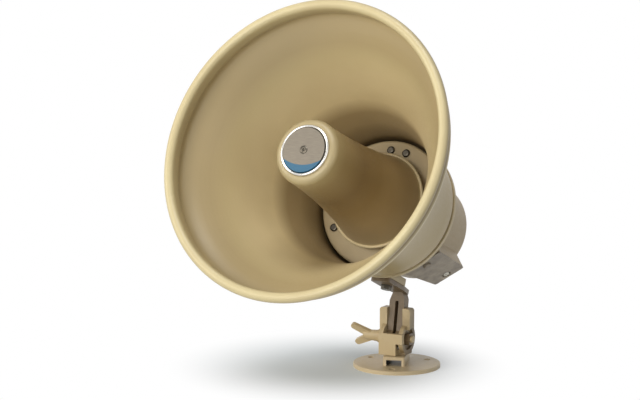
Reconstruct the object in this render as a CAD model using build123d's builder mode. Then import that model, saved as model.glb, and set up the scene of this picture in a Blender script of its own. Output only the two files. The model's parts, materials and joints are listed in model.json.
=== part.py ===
"""A double re-entrant paging horn on a swivel bracket.

Sizes are in millimetres. +Z is up, the origin is the centre of the base's underside, and the horn
points along -Y, tilted up. Along the horn, s is the distance behind the plane of the rim, and r is
the distance from the horn's own axis.
"""

import os
from math import cos, radians, sin

from build123d import *

# Attitude of the horn and the foot
horn_tilt = 22.5           # elevation of the horn's axis
base_turn = 18.0           # how far the base is turned about Z, away from the horn's direction
pivot_height = 25.0        # tilt axis above the underside of the base
arm_height = 100.3         # horn's axis above the tilt axis, measured square to the horn's axis
rim_to_pivot = 223.8       # rim plane to the tilt axis, measured along the horn's axis

# Clearances
part_gap = 0.3             # between pieces that turn past each other
bolt_gap = 0.1             # radial, round a turning bolt or shaft
screw_gap = 0.2            # radial, round a fixed screw's shank
thread_gap = 0.05          # radial, where a fixed screw is threaded in
screw_short = 0.5          # a through screw's end stops this far inside the last face

# Bell: one spun shell with a curled rim and a stiffening ridge
bell_radius = 122.0        # outside of the curled rim
bell_wall = 1.6
curl_radius = 4.0          # outside of the curl
curl_turn = 250.0          # how far the sheet is curled round
ridge_place = 13.0         # crest of the stiffening ridge behind the rim plane
ridge_drop = 4.0           # crest of the ridge below the outside of the rim
valley_place = 6.5
valley_rise = 0.3          # valley above the sheet's level at the curl
flare_start = 21.0         # where the flare leaves the ridge
flare_drop = 12.5
flare_pull = 36.0          # how far the flare keeps its slope behind the ridge
neck_radius = 60.5         # outside of the neck
neck_start = 150.0         # where the flare has become the straight neck
neck_pull = 45.0           # how gently the flare runs into the neck
neck_end = 162.8           # rear face of the neck's inward flange
neck_bend = 3.0            # bend between the neck and its flange, middle of the wall
neck_flange_width = 19.5   # from the neck's outside in to the edge of the flange's hole

# Bullet: the reflector that turns the sound back
bullet_nose = 7.5          # front face behind the rim plane
bullet_face = 21.4         # radius of the flat front face
bullet_tube = 26.7         # tube radius just behind the nose
bullet_rim = 40.8          # radius of the flared rear rim
bullet_end = 140.8
bullet_pull = 55.0         # how far the tube stays straight behind the nose
bullet_flare = 28.0        # length of the slope at the rear rim
bullet_rise = 7.5          # rise of that slope
bullet_wall = 1.6
nose_wall = 2.4

# Badge on the nose
badge_radius = 18.0
badge_height = 2.4
ring_radius = 21.1
ring_height = 2.0
ring_bevel = 1.2
nose_screw_radius = 1.9
nose_screw_head = 3.2

# Tone tube and the spider that joins it to the nose
tube_front = 27.0
tube_front_radius = 16.0   # outside
tube_rear_radius = 11.2    # outside
tube_wall = 1.2
tube_seat = 6.0            # depth of the tube in the throat plate
spider_hub = 5.0
spider_vane = 1.8
spider_vanes = 3
spider_start = 90.0        # angle of the first vane
spider_depth = 14.0

# Throat plate
plate_face = 149.5         # front face behind the rim plane
plate_gap = 2.4            # free ring between the plate's edge and the inside of the neck
plate_thickness = 5.0
plate_round = 2.2
plate_boss = 16.0          # radius of the central boss
plate_boss_front = 5.0     # how far it stands ahead of the face
plate_boss_slope = 4.0
skirt_step = 3.5           # plate's edge to the skirt's outside
skirt_land = 1.0           # hole in the neck's flange to the skirt's inside
throat_screw_pairs = 3
throat_screw_spread = 9.0  # half angle between the two screws of a pair
throat_screw_start = 81.5
screw_radius = 1.9
screw_head_radius = 3.5
screw_head_height = 2.2
screw_head_round = 1.4

# Driver frame, the casting behind the neck
gasket_thickness = 1.0
frame_thickness = 4.4
frame_round = 1.2
throat_bore = 9.5
hub_radius = 14.0

# Shelf under the driver that the arm bolts to
shelf_half = 10.0
shelf_thickness = 6.1
shelf_lift = 2.0           # underside of the shelf inside the neck's outer radius
shelf_end = 203.0

# Driver
driver_radius = 38.0
spacer_depth = 8.0
spacer_bore = 21.0
plug_radius = 17.6
plug_seat = 2.5            # depth of the phase plug in the frame
plug_slot = 1.6            # annular gap between the plug's cone and its ring
plug_gap = 0.8             # plug to dome
plug_nose = 4.0            # how far the plug's cone reaches ahead of its ring
plug_webs = 3
plug_start = 30.0          # angle of the first web
top_plate_depth = 5.5
magnet_step = 8.0          # magnet's edge inside the driver's
magnet_bore = 21.0
magnet_depth = 16.0
yoke_radius = 30.0
yoke_depth = 6.0
pole_radius = 15.4
coil_gap = 1.6             # radial width of the magnetic gap
coil_clearance = 0.4
coil_length = 7.0
diaphragm_wall = 0.5
dome_height = 4.5
diaphragm_radius = 24.0
edge_relief = 0.8          # free depth behind the diaphragm's edge
driver_screw_inset = 3.7   # screw circle inside the driver's edge
driver_screw_head = 3.0
driver_screw_count = 4
driver_screw_offset = 30.0 # turned back from the first pair of throat screws

# Line transformer behind the magnet
core_width = 34.0
core_height = 28.0
core_depth = 14.0
core_leg = 10.0            # width of the middle leg
core_yoke = 5.0            # height of the core above and below its windows
coil_depth = 20.0
coil_side = 6.0            # thickness of the winding beside the leg

# Rear cover: a drawn can with the terminal box on its lower right
cover_share = 0.8264       # radius of the cover's front edge as a share of the neck's
cover_taper = 5.5          # how much smaller its radius is at the rear
cover_wall = 2.2
cover_room = 10.1          # free depth behind the transformer
cover_round = 7.0
cover_post_circle = 26.2
cover_post_radius = 4.6
cover_posts = 3
cover_post_start = 90.0    # angle of the first one
cover_screw_depth = 4.5    # how far a cover screw reaches into the yoke
cover_screw_sink = 2.6     # depth of the pocket for its head
box_roll = 36.6            # turned from straight down towards +X
box_lead = 3.8             # front of the box behind the driver frame
box_lag = 11.0             # back of the box ahead of the cover's rear end
box_front_shift = 3.0      # middle of its front edge, across from the radial line
box_back_shift = 6.9       # middle of its back edge
box_front_half = 18.0
box_back_half = 14.8
box_clear = 5.0            # driver's edge to the inner side of the box's floor
box_height = 13.7          # from there to the outer face of the lid
box_wall = 2.2
box_round = 2.0
wire_hole_radius = 3.0
wire_hole_inset = 17.0     # from the back of the box
wire_hole_shift = 6.0

# What the terminal box holds
lid_thickness = 1.5
lid_screw_inset = 8.0      # from the front of the box
lid_screw_shift = 4.0
lid_screw_length = 8.0
lid_boss_radius = 3.4
strip_length = 18.0
strip_width = 11.0
strip_height = 6.5
strip_inset = 22.5         # its middle from the front of the box
strip_shift = 5.0
strip_screws = 3
strip_screw_radius = 1.6
strip_screw_head = 2.3
strip_screw_depth = 4.0
strip_head_height = 1.2
selector_inset = 6.5       # from the back of the box
selector_shift = 6.6       # across from the radial line
selector_radius = 2.8
selector_body_radius = 4.2
selector_body_height = 7.5
selector_foot = 1.0        # floor of the selector's bore
selector_range = 150.0     # how far the selector turns
selector_sink = 0.4        # top of the selector below the lid's outer face
selector_hole = 4.0
selector_slot = 1.0        # width of the screwdriver slot
selector_slot_depth = 1.0
grommet_radius = 3.9
grommet_neck = 3.1
grommet_bore = 2.0
grommet_lip = 1.6
grommet_inner_lip = 0.8
grommet_rise = 7.2         # from the box's floor
grommet_shift = 15.1       # across from the radial line

# Arm: pad, stem and fork in one casting
pad_half = 9.0
pad_front = 171.0
pad_taper = 203.0          # where the pad starts to narrow
pad_back = 219.0
pad_back_half = 6.5
pad_thickness = 4.0
pad_round = 2.5
arm_bolt_place = 186.0
arm_bolt_radius = 2.5
arm_bolt_head = 4.6        # across corners, as a radius
arm_bolt_head_height = 4.0
arm_bolt_length = 9.0
stem_lean = 10.0           # the stem leans back from the tilt axis
stem_front = 5.6           # front of the stem ahead of the tilt axis
stem_depth = 8.4           # front to back above the clamp
fork_half = 7.2            # half width over the two prongs
fork_slot = 3.0
fork_web = 2.0             # wall left behind the slot
fork_slot_top = 57.0       # above the underside of the base
fork_hub = 8.3             # radius of the fork's end about the tilt axis
stem_shoulder = 58.0       # height where the stem starts to narrow
stem_waist = 67.0          # height where it has its narrow width
stem_waist_half = 3.8
stem_reach = 40.0          # half depth of the cuts that shape the stem

# Clamp
clamp_bolt_radius = 3.0
ear_outer = 14.5
ear_half = 4.6             # half depth of an ear, front to back
ear_top = 52.0
ear_round = 2.5
side_outer = 11.3          # outer face of the side plates
side_radius = 13.2         # side plates are round about the tilt axis
front_face = 13.0          # the clamp body's front wall ahead of the axis
front_wall = 4.2
front_top = 30.5
front_arm_bottom = 21.8    # lower edge of the front wall's right arm
front_leg_right = 5.0      # right edge of the front wall's leg
seat_back = 10.0
jaw_recess = 2.0
jaw_recess_radius = 9.6
jaw_lip = 7.8              # inner end of the jaw's lip on the dovetail
jaw_lip_half = 7.0
bolt_boss_radius = 6.2
bolt_boss_end = 16.0
washer_radius = 6.0
washer_thickness = 1.2
nut_radius = 5.8           # across corners, as a radius
nut_height = 4.6
wing_hub_radius = 5.2
wing_hub_taper = 1.0
wing_hub_length = 14.0
wing_tip_reach = 8.6       # centre of a wing's round tip beside the bolt's axis
wing_tip_out = 8.5         # and beyond the hub's outer end
wing_tip_radius = 2.8
wing_root = 5.0            # centre of a wing's root, inside the hub's outer end
wing_root_radius = 3.6
wing_thickness = 3.2
wing_turn = 28.0
bolt_tail = 2.0            # bolt's end beyond the nut

# Base
flange_radius = 38.1
flange_thickness = 3.4
flange_round = 1.0
block_half = 9.5
block_front = 18.0         # front of the banding block ahead of the swivel's axis
block_back = 14.0
block_top = 11.2
block_round = 1.5
tunnel_half = 6.7
tunnel_top = 8.6
dovetail_foot = 7.0        # radius of the boss where it stands on the block
dovetail_head = 9.0
dovetail_top = 16.0
foot_hole_radius = 2.75
foot_hole_circle = 29.0
foot_hole_count = 3

# The horn's own frame, carried by the tilt axis
back = Vector(0, cos(radians(horn_tilt)), -sin(radians(horn_tilt)))
front = back * -1
up_normal = Vector(0, sin(radians(horn_tilt)), cos(radians(horn_tilt)))
pivot = Vector(0, 0, pivot_height)
rim_centre = pivot + up_normal * arm_height - back * rim_to_pivot
horn_axis = Axis(rim_centre, back)
section = Plane(origin=rim_centre, x_dir=back, z_dir=(1, 0, 0))
box_out = Vector(sin(radians(box_roll)), 0, 0) - up_normal * cos(radians(box_roll))
box_side = Vector(cos(radians(box_roll)), 0, 0) + up_normal * sin(radians(box_roll))
base_plane = Plane.XY.rotated((0, 0, base_turn))

# Places along the horn that follow from the sizes above
plate_back = plate_face + plate_thickness
neck_flange_front = neck_end - bell_wall
frame_front = neck_end + gasket_thickness
frame_back = frame_front + frame_thickness
top_plate_front = frame_back + spacer_depth
magnet_front = top_plate_front + top_plate_depth
yoke_front = magnet_front + magnet_depth
yoke_back = yoke_front + yoke_depth
cover_inner_end = yoke_back + coil_depth + cover_room
cover_end = cover_inner_end + cover_wall
box_front = frame_back + box_lead
box_back = cover_end - box_lag
lid_screw_place = box_front + lid_screw_inset
strip_place = box_front + strip_inset
wire_hole_place = box_back - wire_hole_inset
selector_place = box_back - selector_inset

# Distances from the horn's axis that follow from the sizes above
neck_opening = neck_radius - neck_flange_width
plate_radius = neck_radius - bell_wall - plate_gap
skirt_radius = plate_radius - skirt_step
skirt_inner = neck_opening + skirt_land
throat_screw_circle = (skirt_radius + skirt_inner) / 2
throat_angles = [
    throat_screw_start + pair * 360 / throat_screw_pairs + side * throat_screw_spread
    for pair in range(throat_screw_pairs)
    for side in (-1, 1)
]
pad_top = neck_radius - shelf_lift
shelf_top = pad_top - shelf_thickness
driver_screw_circle = driver_radius - driver_screw_inset
driver_screw_start = throat_screw_start - driver_screw_offset
magnet_radius = driver_radius - magnet_step
cover_radius = neck_radius * cover_share
cover_end_radius = cover_radius - cover_taper
box_floor = driver_radius + box_clear
box_face = box_floor + box_height
lid_inner = box_face - lid_thickness
gland_centre = rim_centre + back * box_back + box_out * (box_floor + grommet_rise) + box_side * grommet_shift
gland_plane = Plane(origin=gland_centre, x_dir=box_side, z_dir=front)
jaw_inner = fork_half + part_gap
seat_bottom = block_top + part_gap


def across(s):
    """Plane square to the horn's axis at s, seen from the front: x to the right, y up."""
    return Plane(origin=rim_centre + back * s, x_dir=(1, 0, 0), z_dir=front)


def rolled(distance):
    """Plane of the terminal box: x runs back along the horn, y across the box, z outwards."""
    return Plane(origin=rim_centre + box_out * distance, x_dir=back, z_dir=box_out)


def under(depth):
    """Plane along the horn's underside at a depth below its axis: x runs back, z points up."""
    return Plane(origin=rim_centre - up_normal * depth, x_dir=back, z_dir=up_normal)


def beside(x):
    """Plane square to the tilt axis at x: local x runs along Y and local y up, from the pivot."""
    return Plane(origin=(x, 0, pivot_height), x_dir=(0, 1, 0), z_dir=(1, 0, 0))


def along_stem(side, height):
    """Point in the stem's side view: beside its line of lean, and up along it, from the pivot."""
    lean = radians(stem_lean)
    return (side * cos(lean) + height * sin(lean), height * cos(lean) - side * sin(lean))


def stem_end(side):
    """Where a line along the stem ends, halfway through the pad's thickness."""
    lean = radians(horn_tilt - stem_lean)
    return along_stem(side, (arm_height - pad_top - pad_thickness / 2 - side * sin(lean)) / cos(lean))


def box_edge():
    """Outline of the terminal box, seen square to its lid."""
    return Polyline(
        (box_front, box_front_shift - box_front_half),
        (box_front, box_front_shift + box_front_half),
        (box_back, box_back_shift + box_back_half),
        (box_back, box_back_shift - box_back_half),
        close=True,
    )


def ear_outline(side):
    """Front view of a clamp ear, from the bolt's height up, on the left (-1) or the right (1)."""
    return Polyline(
        (side * jaw_inner, pivot_height),
        (side * jaw_inner, ear_top),
        (side * ear_outer, ear_top),
        (side * ear_outer, pivot_height),
        close=True,
    )


def dovetail_profile(gap):
    """Half section of the foot's dovetail boss, grown by a gap."""
    return Polyline(
        (0, block_top),
        (dovetail_foot + gap, block_top),
        (dovetail_head + gap, dovetail_top),
        (0, dovetail_top),
        close=True,
    )


def wing_outline(side):
    """Outline of one wing: from its root on the hub out to its round tip."""
    root = Vector(-hub_outer + wing_root, side * (wing_hub_radius - wing_root_radius))
    tip = Vector(-hub_outer - wing_tip_out, side * wing_tip_reach)
    line = (tip - root).normalized()
    square = Vector(-line.Y, line.X)
    lower = Line(root - square * wing_root_radius, tip - square * wing_tip_radius)
    ThreePointArc(lower @ 1, tip + line * wing_tip_radius, tip + square * wing_tip_radius)
    upper = Line(tip + square * wing_tip_radius, root + square * wing_root_radius)
    return ThreePointArc(upper @ 1, root - line * wing_root_radius, lower @ 0)


def side_of(curve, distance, steps=12):
    """Points at a distance to the right of a planned curve."""
    points = []
    for step in range(steps + 1):
        along = curve % (step / steps)
        points.append(curve @ (step / steps) + Vector(along.Y, -along.X) * distance)
    return points


def finish(piece, name):
    """Label a finished piece and write it."""
    piece.part.label = name
    export_step(piece.part, "parts/" + name + ".step")


os.makedirs("parts", exist_ok=True)

# Bell: the middle line of the sheet is planned once, and both of its sides are drawn from it
wall_mid = bell_wall / 2
curl_mid = curl_radius - wall_mid
curl_centre = bell_radius - curl_radius
neck_mid = neck_radius - wall_mid
flare_end = bell_radius - flare_drop
with BuildPart() as bell:
    with BuildSketch(section):
        with BuildLine():
            flare = Bezier(
                (neck_start, neck_mid),
                (neck_start - neck_pull, neck_mid),
                (flare_start + flare_pull, flare_end - flare_pull),
                (flare_start, flare_end),
                mode=Mode.PRIVATE,
            )
            ridge = Spline(
                flare @ 1,
                (ridge_place, bell_radius - ridge_drop - wall_mid),
                (valley_place, curl_centre - curl_mid + valley_rise),
                (0, curl_centre - curl_mid),
                tangents=[flare % 1, (-1, 0)],
                mode=Mode.PRIVATE,
            )
            neck_back = Line((neck_end, neck_opening), (neck_end, neck_mid - neck_bend))
            outer_bend = JernArc(neck_back @ 1, (0, 1), neck_bend + wall_mid, 90)
            neck_outside = Line(outer_bend @ 1, (neck_start, neck_radius))
            outside = Spline(*side_of(flare, wall_mid), tangents=[flare % 0, flare % 1])
            ridge_outside = Spline(*side_of(ridge, wall_mid), tangents=[ridge % 0, ridge % 1])
            curl_inside = CenterArc((0, curl_centre), curl_mid - wall_mid, -90, -curl_turn)
            curl_outside = CenterArc((0, curl_centre), curl_radius, -90, -curl_turn)
            curl_edge = Line(curl_inside @ 1, curl_outside @ 1)
            ridge_inside = Spline(*side_of(ridge, -wall_mid), tangents=[ridge % 0, ridge % 1])
            inside = Spline(*side_of(flare, -wall_mid), tangents=[flare % 0, flare % 1])
            neck_inside = Line(inside @ 0, outer_bend @ 1 - Vector(0, bell_wall))
            inner_bend = JernArc(neck_inside @ 1, (1, 0), neck_bend - wall_mid, -90)
            Polyline(inner_bend @ 1, (neck_flange_front, neck_opening), neck_back @ 0)
        make_face()
    revolve(axis=horn_axis)
    with BuildSketch(across(neck_flange_front)):
        for angle in throat_angles:
            with PolarLocations(throat_screw_circle, 1, start_angle=angle):
                Circle(screw_radius + screw_gap)
    extrude(amount=-bell_wall, mode=Mode.SUBTRACT)
finish(bell, "bell")

# Bullet: closed at the nose, flared at the back
shoulder_radius = bullet_tube - bullet_face
nose_inside = bullet_nose + nose_wall
nose_hole = nose_screw_radius + screw_gap
with BuildPart() as bullet:
    with BuildSketch(section):
        with BuildLine():
            nose = Line((bullet_nose, nose_hole), (bullet_nose, bullet_face))
            shoulder = JernArc(nose @ 1, (0, 1), shoulder_radius, -90)
            outside = Bezier(
                shoulder @ 1,
                (bullet_pull, bullet_tube),
                (bullet_end - bullet_flare, bullet_rim - bullet_rise),
                (bullet_end, bullet_rim),
            )
            lip = Line(outside @ 1, (bullet_end, bullet_rim - bullet_wall))
            inside = Bezier(
                lip @ 1,
                (bullet_end - bullet_flare, bullet_rim - bullet_rise - bullet_wall),
                (bullet_pull, bullet_tube - bullet_wall),
                (nose_inside + shoulder_radius - bullet_wall, bullet_tube - bullet_wall),
            )
            inner_shoulder = JernArc(inside @ 1, (-1, 0), shoulder_radius - bullet_wall, 90)
            Polyline(inner_shoulder @ 1, (nose_inside, nose_hole), nose @ 0)
        make_face()
    revolve(axis=horn_axis)
finish(bullet, "bullet")

# Badge disc and its polished ring, both seated on the nose
badge_front = bullet_nose - badge_height
sink_depth = nose_screw_head - nose_screw_radius
with BuildPart() as nose_badge:
    with BuildSketch(section):
        with BuildLine():
            Polyline(
                (bullet_nose, nose_hole),
                (bullet_nose, badge_radius),
                (badge_front, badge_radius),
                (badge_front, nose_screw_head + screw_gap),
                (badge_front + sink_depth, nose_hole),
                close=True,
            )
        make_face()
    revolve(axis=horn_axis)
finish(nose_badge, "nose_badge")

ring_front = bullet_nose - ring_height
with BuildPart() as badge_ring:
    with BuildSketch(section):
        with BuildLine():
            Polyline(
                (bullet_nose, badge_radius + thread_gap),
                (bullet_nose, ring_radius),
                (ring_front + ring_bevel, ring_radius),
                (ring_front, ring_radius - ring_bevel),
                (ring_front, badge_radius + thread_gap),
                close=True,
            )
        make_face()
    revolve(axis=horn_axis)
finish(badge_ring, "badge_ring")

# Screw through the badge and the nose into the spider
nose_screw_end = tube_front + spider_depth / 2
with BuildPart() as nose_screw:
    with BuildSketch(section):
        with BuildLine():
            Polyline(
                (badge_front, 0),
                (badge_front, nose_screw_head),
                (badge_front + sink_depth, nose_screw_radius),
                (nose_screw_end, nose_screw_radius),
                (nose_screw_end, 0),
                close=True,
            )
        make_face()
    revolve(axis=horn_axis)
finish(nose_screw, "nose_screw")

# Spider: a hub on the nose's inside, with three vanes in the tube's front end
tube_seat_end = plate_face - plate_boss_front + tube_seat
tube_slope = (tube_front_radius - tube_rear_radius) / (tube_seat_end - tube_front)
vane_radius = tube_front_radius - tube_wall - tube_slope * spider_depth - thread_gap
with BuildPart() as nose_spider:
    with BuildSketch(across(nose_inside)):
        Circle(spider_hub)
    extrude(amount=nose_inside - tube_front - spider_depth)
    with BuildSketch(across(tube_front)):
        with PolarLocations(vane_radius / 2, spider_vanes, start_angle=spider_start):
            Rectangle(vane_radius, spider_vane)
    extrude(amount=-spider_depth)
    with BuildSketch(across(nose_inside)):
        Circle(nose_screw_radius + thread_gap)
    extrude(amount=nose_inside - tube_front - spider_depth, mode=Mode.SUBTRACT)
finish(nose_spider, "nose_spider")

# Tone tube: a tapered tube from the throat plate to just short of the nose
with BuildPart() as tone_tube:
    with BuildSketch(section):
        with BuildLine():
            Polyline(
                (tube_front, tube_front_radius),
                (tube_seat_end, tube_rear_radius),
                (tube_seat_end, tube_rear_radius - tube_wall),
                (tube_front, tube_front_radius - tube_wall),
                close=True,
            )
        make_face()
    revolve(axis=horn_axis)
finish(tone_tube, "tone_tube")

# Throat plate: round-edged disc with a boss for the tube and a skirt that clamps the neck
boss_front = plate_face - plate_boss_front
tube_socket = tube_rear_radius + tube_slope * tube_seat + thread_gap
with BuildPart() as throat_plate:
    with BuildSketch(section):
        with BuildLine():
            Polyline(
                (plate_face + plate_round, plate_radius),
                (plate_back, plate_radius),
                (plate_back, skirt_radius),
                (neck_flange_front, skirt_radius),
                (neck_flange_front, skirt_inner),
                (plate_back, skirt_inner),
                (plate_back, throat_bore),
                (tube_seat_end, throat_bore),
                (tube_seat_end, tube_socket),
                (boss_front, tube_socket),
                (boss_front, plate_boss),
                (plate_face, plate_boss + plate_boss_slope),
                (plate_face, plate_radius - plate_round),
            )
            JernArc((plate_face, plate_radius - plate_round), (0, 1), plate_round, -90)
        make_face()
    revolve(axis=horn_axis)
    with BuildSketch(across(plate_face)):
        for angle in throat_angles:
            with PolarLocations(throat_screw_circle, 1, start_angle=angle):
                Circle(screw_radius + screw_gap)
    extrude(amount=plate_face - neck_flange_front, mode=Mode.SUBTRACT)
finish(throat_plate, "throat_plate")

# Six round-headed screws in three pairs hold plate, neck, gasket and frame together
throat_screw_length = frame_back - plate_face - screw_short
with BuildPart() as throat_screws:
    with BuildSketch(across(plate_face)):
        for angle in throat_angles:
            with PolarLocations(throat_screw_circle, 1, start_angle=angle):
                Circle(screw_radius)
    extrude(amount=-throat_screw_length)
    with BuildSketch(across(plate_face)):
        for angle in throat_angles:
            with PolarLocations(throat_screw_circle, 1, start_angle=angle):
                Circle(screw_head_radius)
    extrude(amount=screw_head_height)
    circles = throat_screws.edges().filter_by(GeomType.CIRCLE).sort_by(Axis(rim_centre, front))
    fillet(circles[-len(throat_angles):], screw_head_round)
finish(throat_screws, "throat_screws")

# Gasket between the neck's flange and the driver frame
with BuildPart() as neck_gasket:
    with BuildSketch(across(neck_end)):
        Circle(neck_radius - bell_wall - neck_bend)
        Circle(neck_opening, mode=Mode.SUBTRACT)
        for angle in throat_angles:
            with PolarLocations(throat_screw_circle, 1, start_angle=angle):
                Circle(screw_radius + screw_gap, mode=Mode.SUBTRACT)
    extrude(amount=-gasket_thickness)
finish(neck_gasket, "neck_gasket")

# Driver frame: disc flush with the neck, hub with the throat, and the shelf for the arm
with BuildPart() as driver_frame:
    with BuildSketch(section):
        with BuildLine():
            Polyline(
                (plate_back, throat_bore),
                (plate_back, hub_radius),
                (frame_front, hub_radius),
                (frame_front, neck_radius),
                (frame_back, neck_radius),
                (frame_back, plug_radius + thread_gap),
                (frame_back - plug_seat, plug_radius + thread_gap),
                (frame_back - plug_seat, throat_bore),
                close=True,
            )
        make_face()
    revolve(axis=horn_axis)
    rear_edge = driver_frame.edges().filter_by(GeomType.CIRCLE).sort_by(SortBy.RADIUS)[-2:]
    fillet(rear_edge.sort_by(horn_axis)[-1], frame_round)
    with BuildSketch(under(pad_top)):
        with Locations(((frame_front + shelf_end) / 2, 0)):
            Rectangle(shelf_end - frame_front, 2 * shelf_half)
    extrude(amount=pad_top - shelf_top)
    fillet(driver_frame.faces().sort_by(horn_axis)[-1].edges().filter_by(Axis(rim_centre, up_normal)), pad_round)
    with BuildSketch(across(frame_front)):
        for angle in throat_angles:
            with PolarLocations(throat_screw_circle, 1, start_angle=angle):
                Circle(screw_radius + thread_gap)
        with PolarLocations(driver_screw_circle, driver_screw_count, start_angle=driver_screw_start):
            Circle(screw_radius + thread_gap)
    extrude(amount=-frame_thickness, mode=Mode.SUBTRACT)
    with BuildSketch(under(pad_top)):
        with Locations((arm_bolt_place, 0)):
            Circle(arm_bolt_radius + thread_gap)
    extrude(amount=pad_top - shelf_top, mode=Mode.SUBTRACT)
finish(driver_frame, "driver_frame")

# Phase plug: ring and centre cone on three webs, just ahead of the diaphragm's dome
dome_rim = top_plate_front - diaphragm_wall
plug_front = frame_back - plug_seat
plug_back = dome_rim - dome_height - plug_gap
plug_core = throat_bore - plug_slot
with BuildPart() as phase_plug:
    with BuildSketch(across(plug_front)):
        Circle(plug_radius)
        Circle(throat_bore, mode=Mode.SUBTRACT)
    extrude(amount=plug_front - plug_back)
    with BuildSketch(section):
        with BuildLine():
            Polyline((plug_front - plug_nose, 0), (plug_back, 0), (plug_back, plug_core), close=True)
        make_face()
    revolve(axis=horn_axis)
    with BuildSketch(across(plug_front)):
        with PolarLocations(throat_bore / 2, plug_webs, start_angle=plug_start):
            Rectangle(throat_bore, spider_vane)
    extrude(amount=plug_front - plug_back)
finish(phase_plug, "phase_plug")

# Spacer ring between frame and top plate, rebated for the diaphragm's edge
with BuildPart() as spacer_ring:
    with BuildSketch(section):
        with BuildLine():
            Polyline(
                (frame_back, spacer_bore),
                (frame_back, driver_radius),
                (top_plate_front, driver_radius),
                (top_plate_front, diaphragm_radius + thread_gap),
                (dome_rim, diaphragm_radius + thread_gap),
                (dome_rim, spacer_bore),
                close=True,
            )
        make_face()
    revolve(axis=horn_axis)
    with BuildSketch(across(frame_back)):
        with PolarLocations(driver_screw_circle, driver_screw_count, start_angle=driver_screw_start):
            Circle(screw_radius + screw_gap)
    extrude(amount=-spacer_depth, mode=Mode.SUBTRACT)
finish(spacer_ring, "spacer_ring")

# Diaphragm: a dome facing the plug, a flat edge, and the voice coil hanging in the gap
voice_inner = pole_radius + coil_clearance
voice_outer = pole_radius + coil_gap - coil_clearance
dome_front = dome_rim - dome_height
with BuildPart() as diaphragm:
    with BuildSketch(section):
        with BuildLine():
            dome = ThreePointArc(
                (dome_rim, -voice_outer), (dome_front, 0), (dome_rim, voice_outer), mode=Mode.PRIVATE
            )
            hollow = ThreePointArc(
                (top_plate_front, -voice_inner),
                (dome_front + diaphragm_wall, 0),
                (top_plate_front, voice_inner),
                mode=Mode.PRIVATE,
            )
            ThreePointArc(dome @ 0.5, dome @ 0.75, dome @ 1)
            Polyline(
                dome @ 1,
                (dome_rim, diaphragm_radius),
                (top_plate_front, diaphragm_radius),
                (top_plate_front, voice_outer),
                (top_plate_front + coil_length, voice_outer),
                (top_plate_front + coil_length, voice_inner),
                hollow @ 1,
            )
            ThreePointArc(hollow @ 1, hollow @ 0.75, hollow @ 0.5)
            Line(hollow @ 0.5, dome @ 0.5)
        make_face()
    revolve(axis=horn_axis)
finish(diaphragm, "diaphragm")

# Top plate, magnet and yoke
with BuildPart() as top_plate:
    with BuildSketch(section):
        with BuildLine():
            Polyline(
                (top_plate_front, spacer_bore),
                (top_plate_front, driver_radius),
                (magnet_front, driver_radius),
                (magnet_front, pole_radius + coil_gap),
                (top_plate_front + edge_relief, pole_radius + coil_gap),
                (top_plate_front + edge_relief, spacer_bore),
                close=True,
            )
        make_face()
    revolve(axis=horn_axis)
    with BuildSketch(across(top_plate_front)):
        with PolarLocations(driver_screw_circle, driver_screw_count, start_angle=driver_screw_start):
            Circle(screw_radius + screw_gap)
    extrude(amount=-top_plate_depth, mode=Mode.SUBTRACT)
finish(top_plate, "top_plate")

with BuildPart() as magnet:
    with BuildSketch(across(magnet_front)):
        Circle(magnet_radius)
        Circle(magnet_bore, mode=Mode.SUBTRACT)
    extrude(amount=-magnet_depth)
finish(magnet, "magnet")

with BuildPart() as back_plate:
    with BuildSketch(across(yoke_front)):
        Circle(yoke_radius)
    extrude(amount=-yoke_depth)
    with BuildSketch(across(top_plate_front + edge_relief)):
        Circle(pole_radius)
    extrude(amount=top_plate_front + edge_relief - yoke_front)
    with BuildSketch(across(yoke_back)):
        with PolarLocations(cover_post_circle, cover_posts, start_angle=cover_post_start):
            Circle(screw_radius + thread_gap)
    extrude(amount=cover_screw_depth + screw_gap, mode=Mode.SUBTRACT)
finish(back_plate, "back_plate")

# Four screws hold top plate and spacer to the frame
with BuildPart() as driver_screws:
    with BuildSketch(across(magnet_front)):
        with PolarLocations(driver_screw_circle, driver_screw_count, start_angle=driver_screw_start):
            Circle(screw_radius)
    extrude(amount=magnet_front - frame_front - screw_short)
    with BuildSketch(across(magnet_front)):
        with PolarLocations(driver_screw_circle, driver_screw_count, start_angle=driver_screw_start):
            Circle(driver_screw_head)
    extrude(amount=-screw_head_height)
finish(driver_screws, "driver_screws")

# Line transformer: laminated core round a wound coil
core_front = yoke_back + (coil_depth - core_depth) / 2
coil_height = core_height - 2 * core_yoke
with BuildPart() as transformer_core:
    with BuildSketch(across(core_front)):
        Rectangle(core_width, core_height)
        with Locations(((core_leg + coil_side) / 2, 0), (-(core_leg + coil_side) / 2, 0)):
            Rectangle(coil_side, coil_height, mode=Mode.SUBTRACT)
    extrude(amount=-core_depth)
finish(transformer_core, "transformer_core")

with BuildPart() as transformer_coil:
    with BuildSketch(across(yoke_back)):
        Rectangle(core_leg + 2 * coil_side - thread_gap, coil_height - thread_gap)
    extrude(amount=-coil_depth)
    with BuildSketch(across(core_front)):
        Rectangle(core_leg + thread_gap, core_height)
    extrude(amount=-core_depth, mode=Mode.SUBTRACT)
finish(transformer_coil, "transformer_coil")

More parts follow.
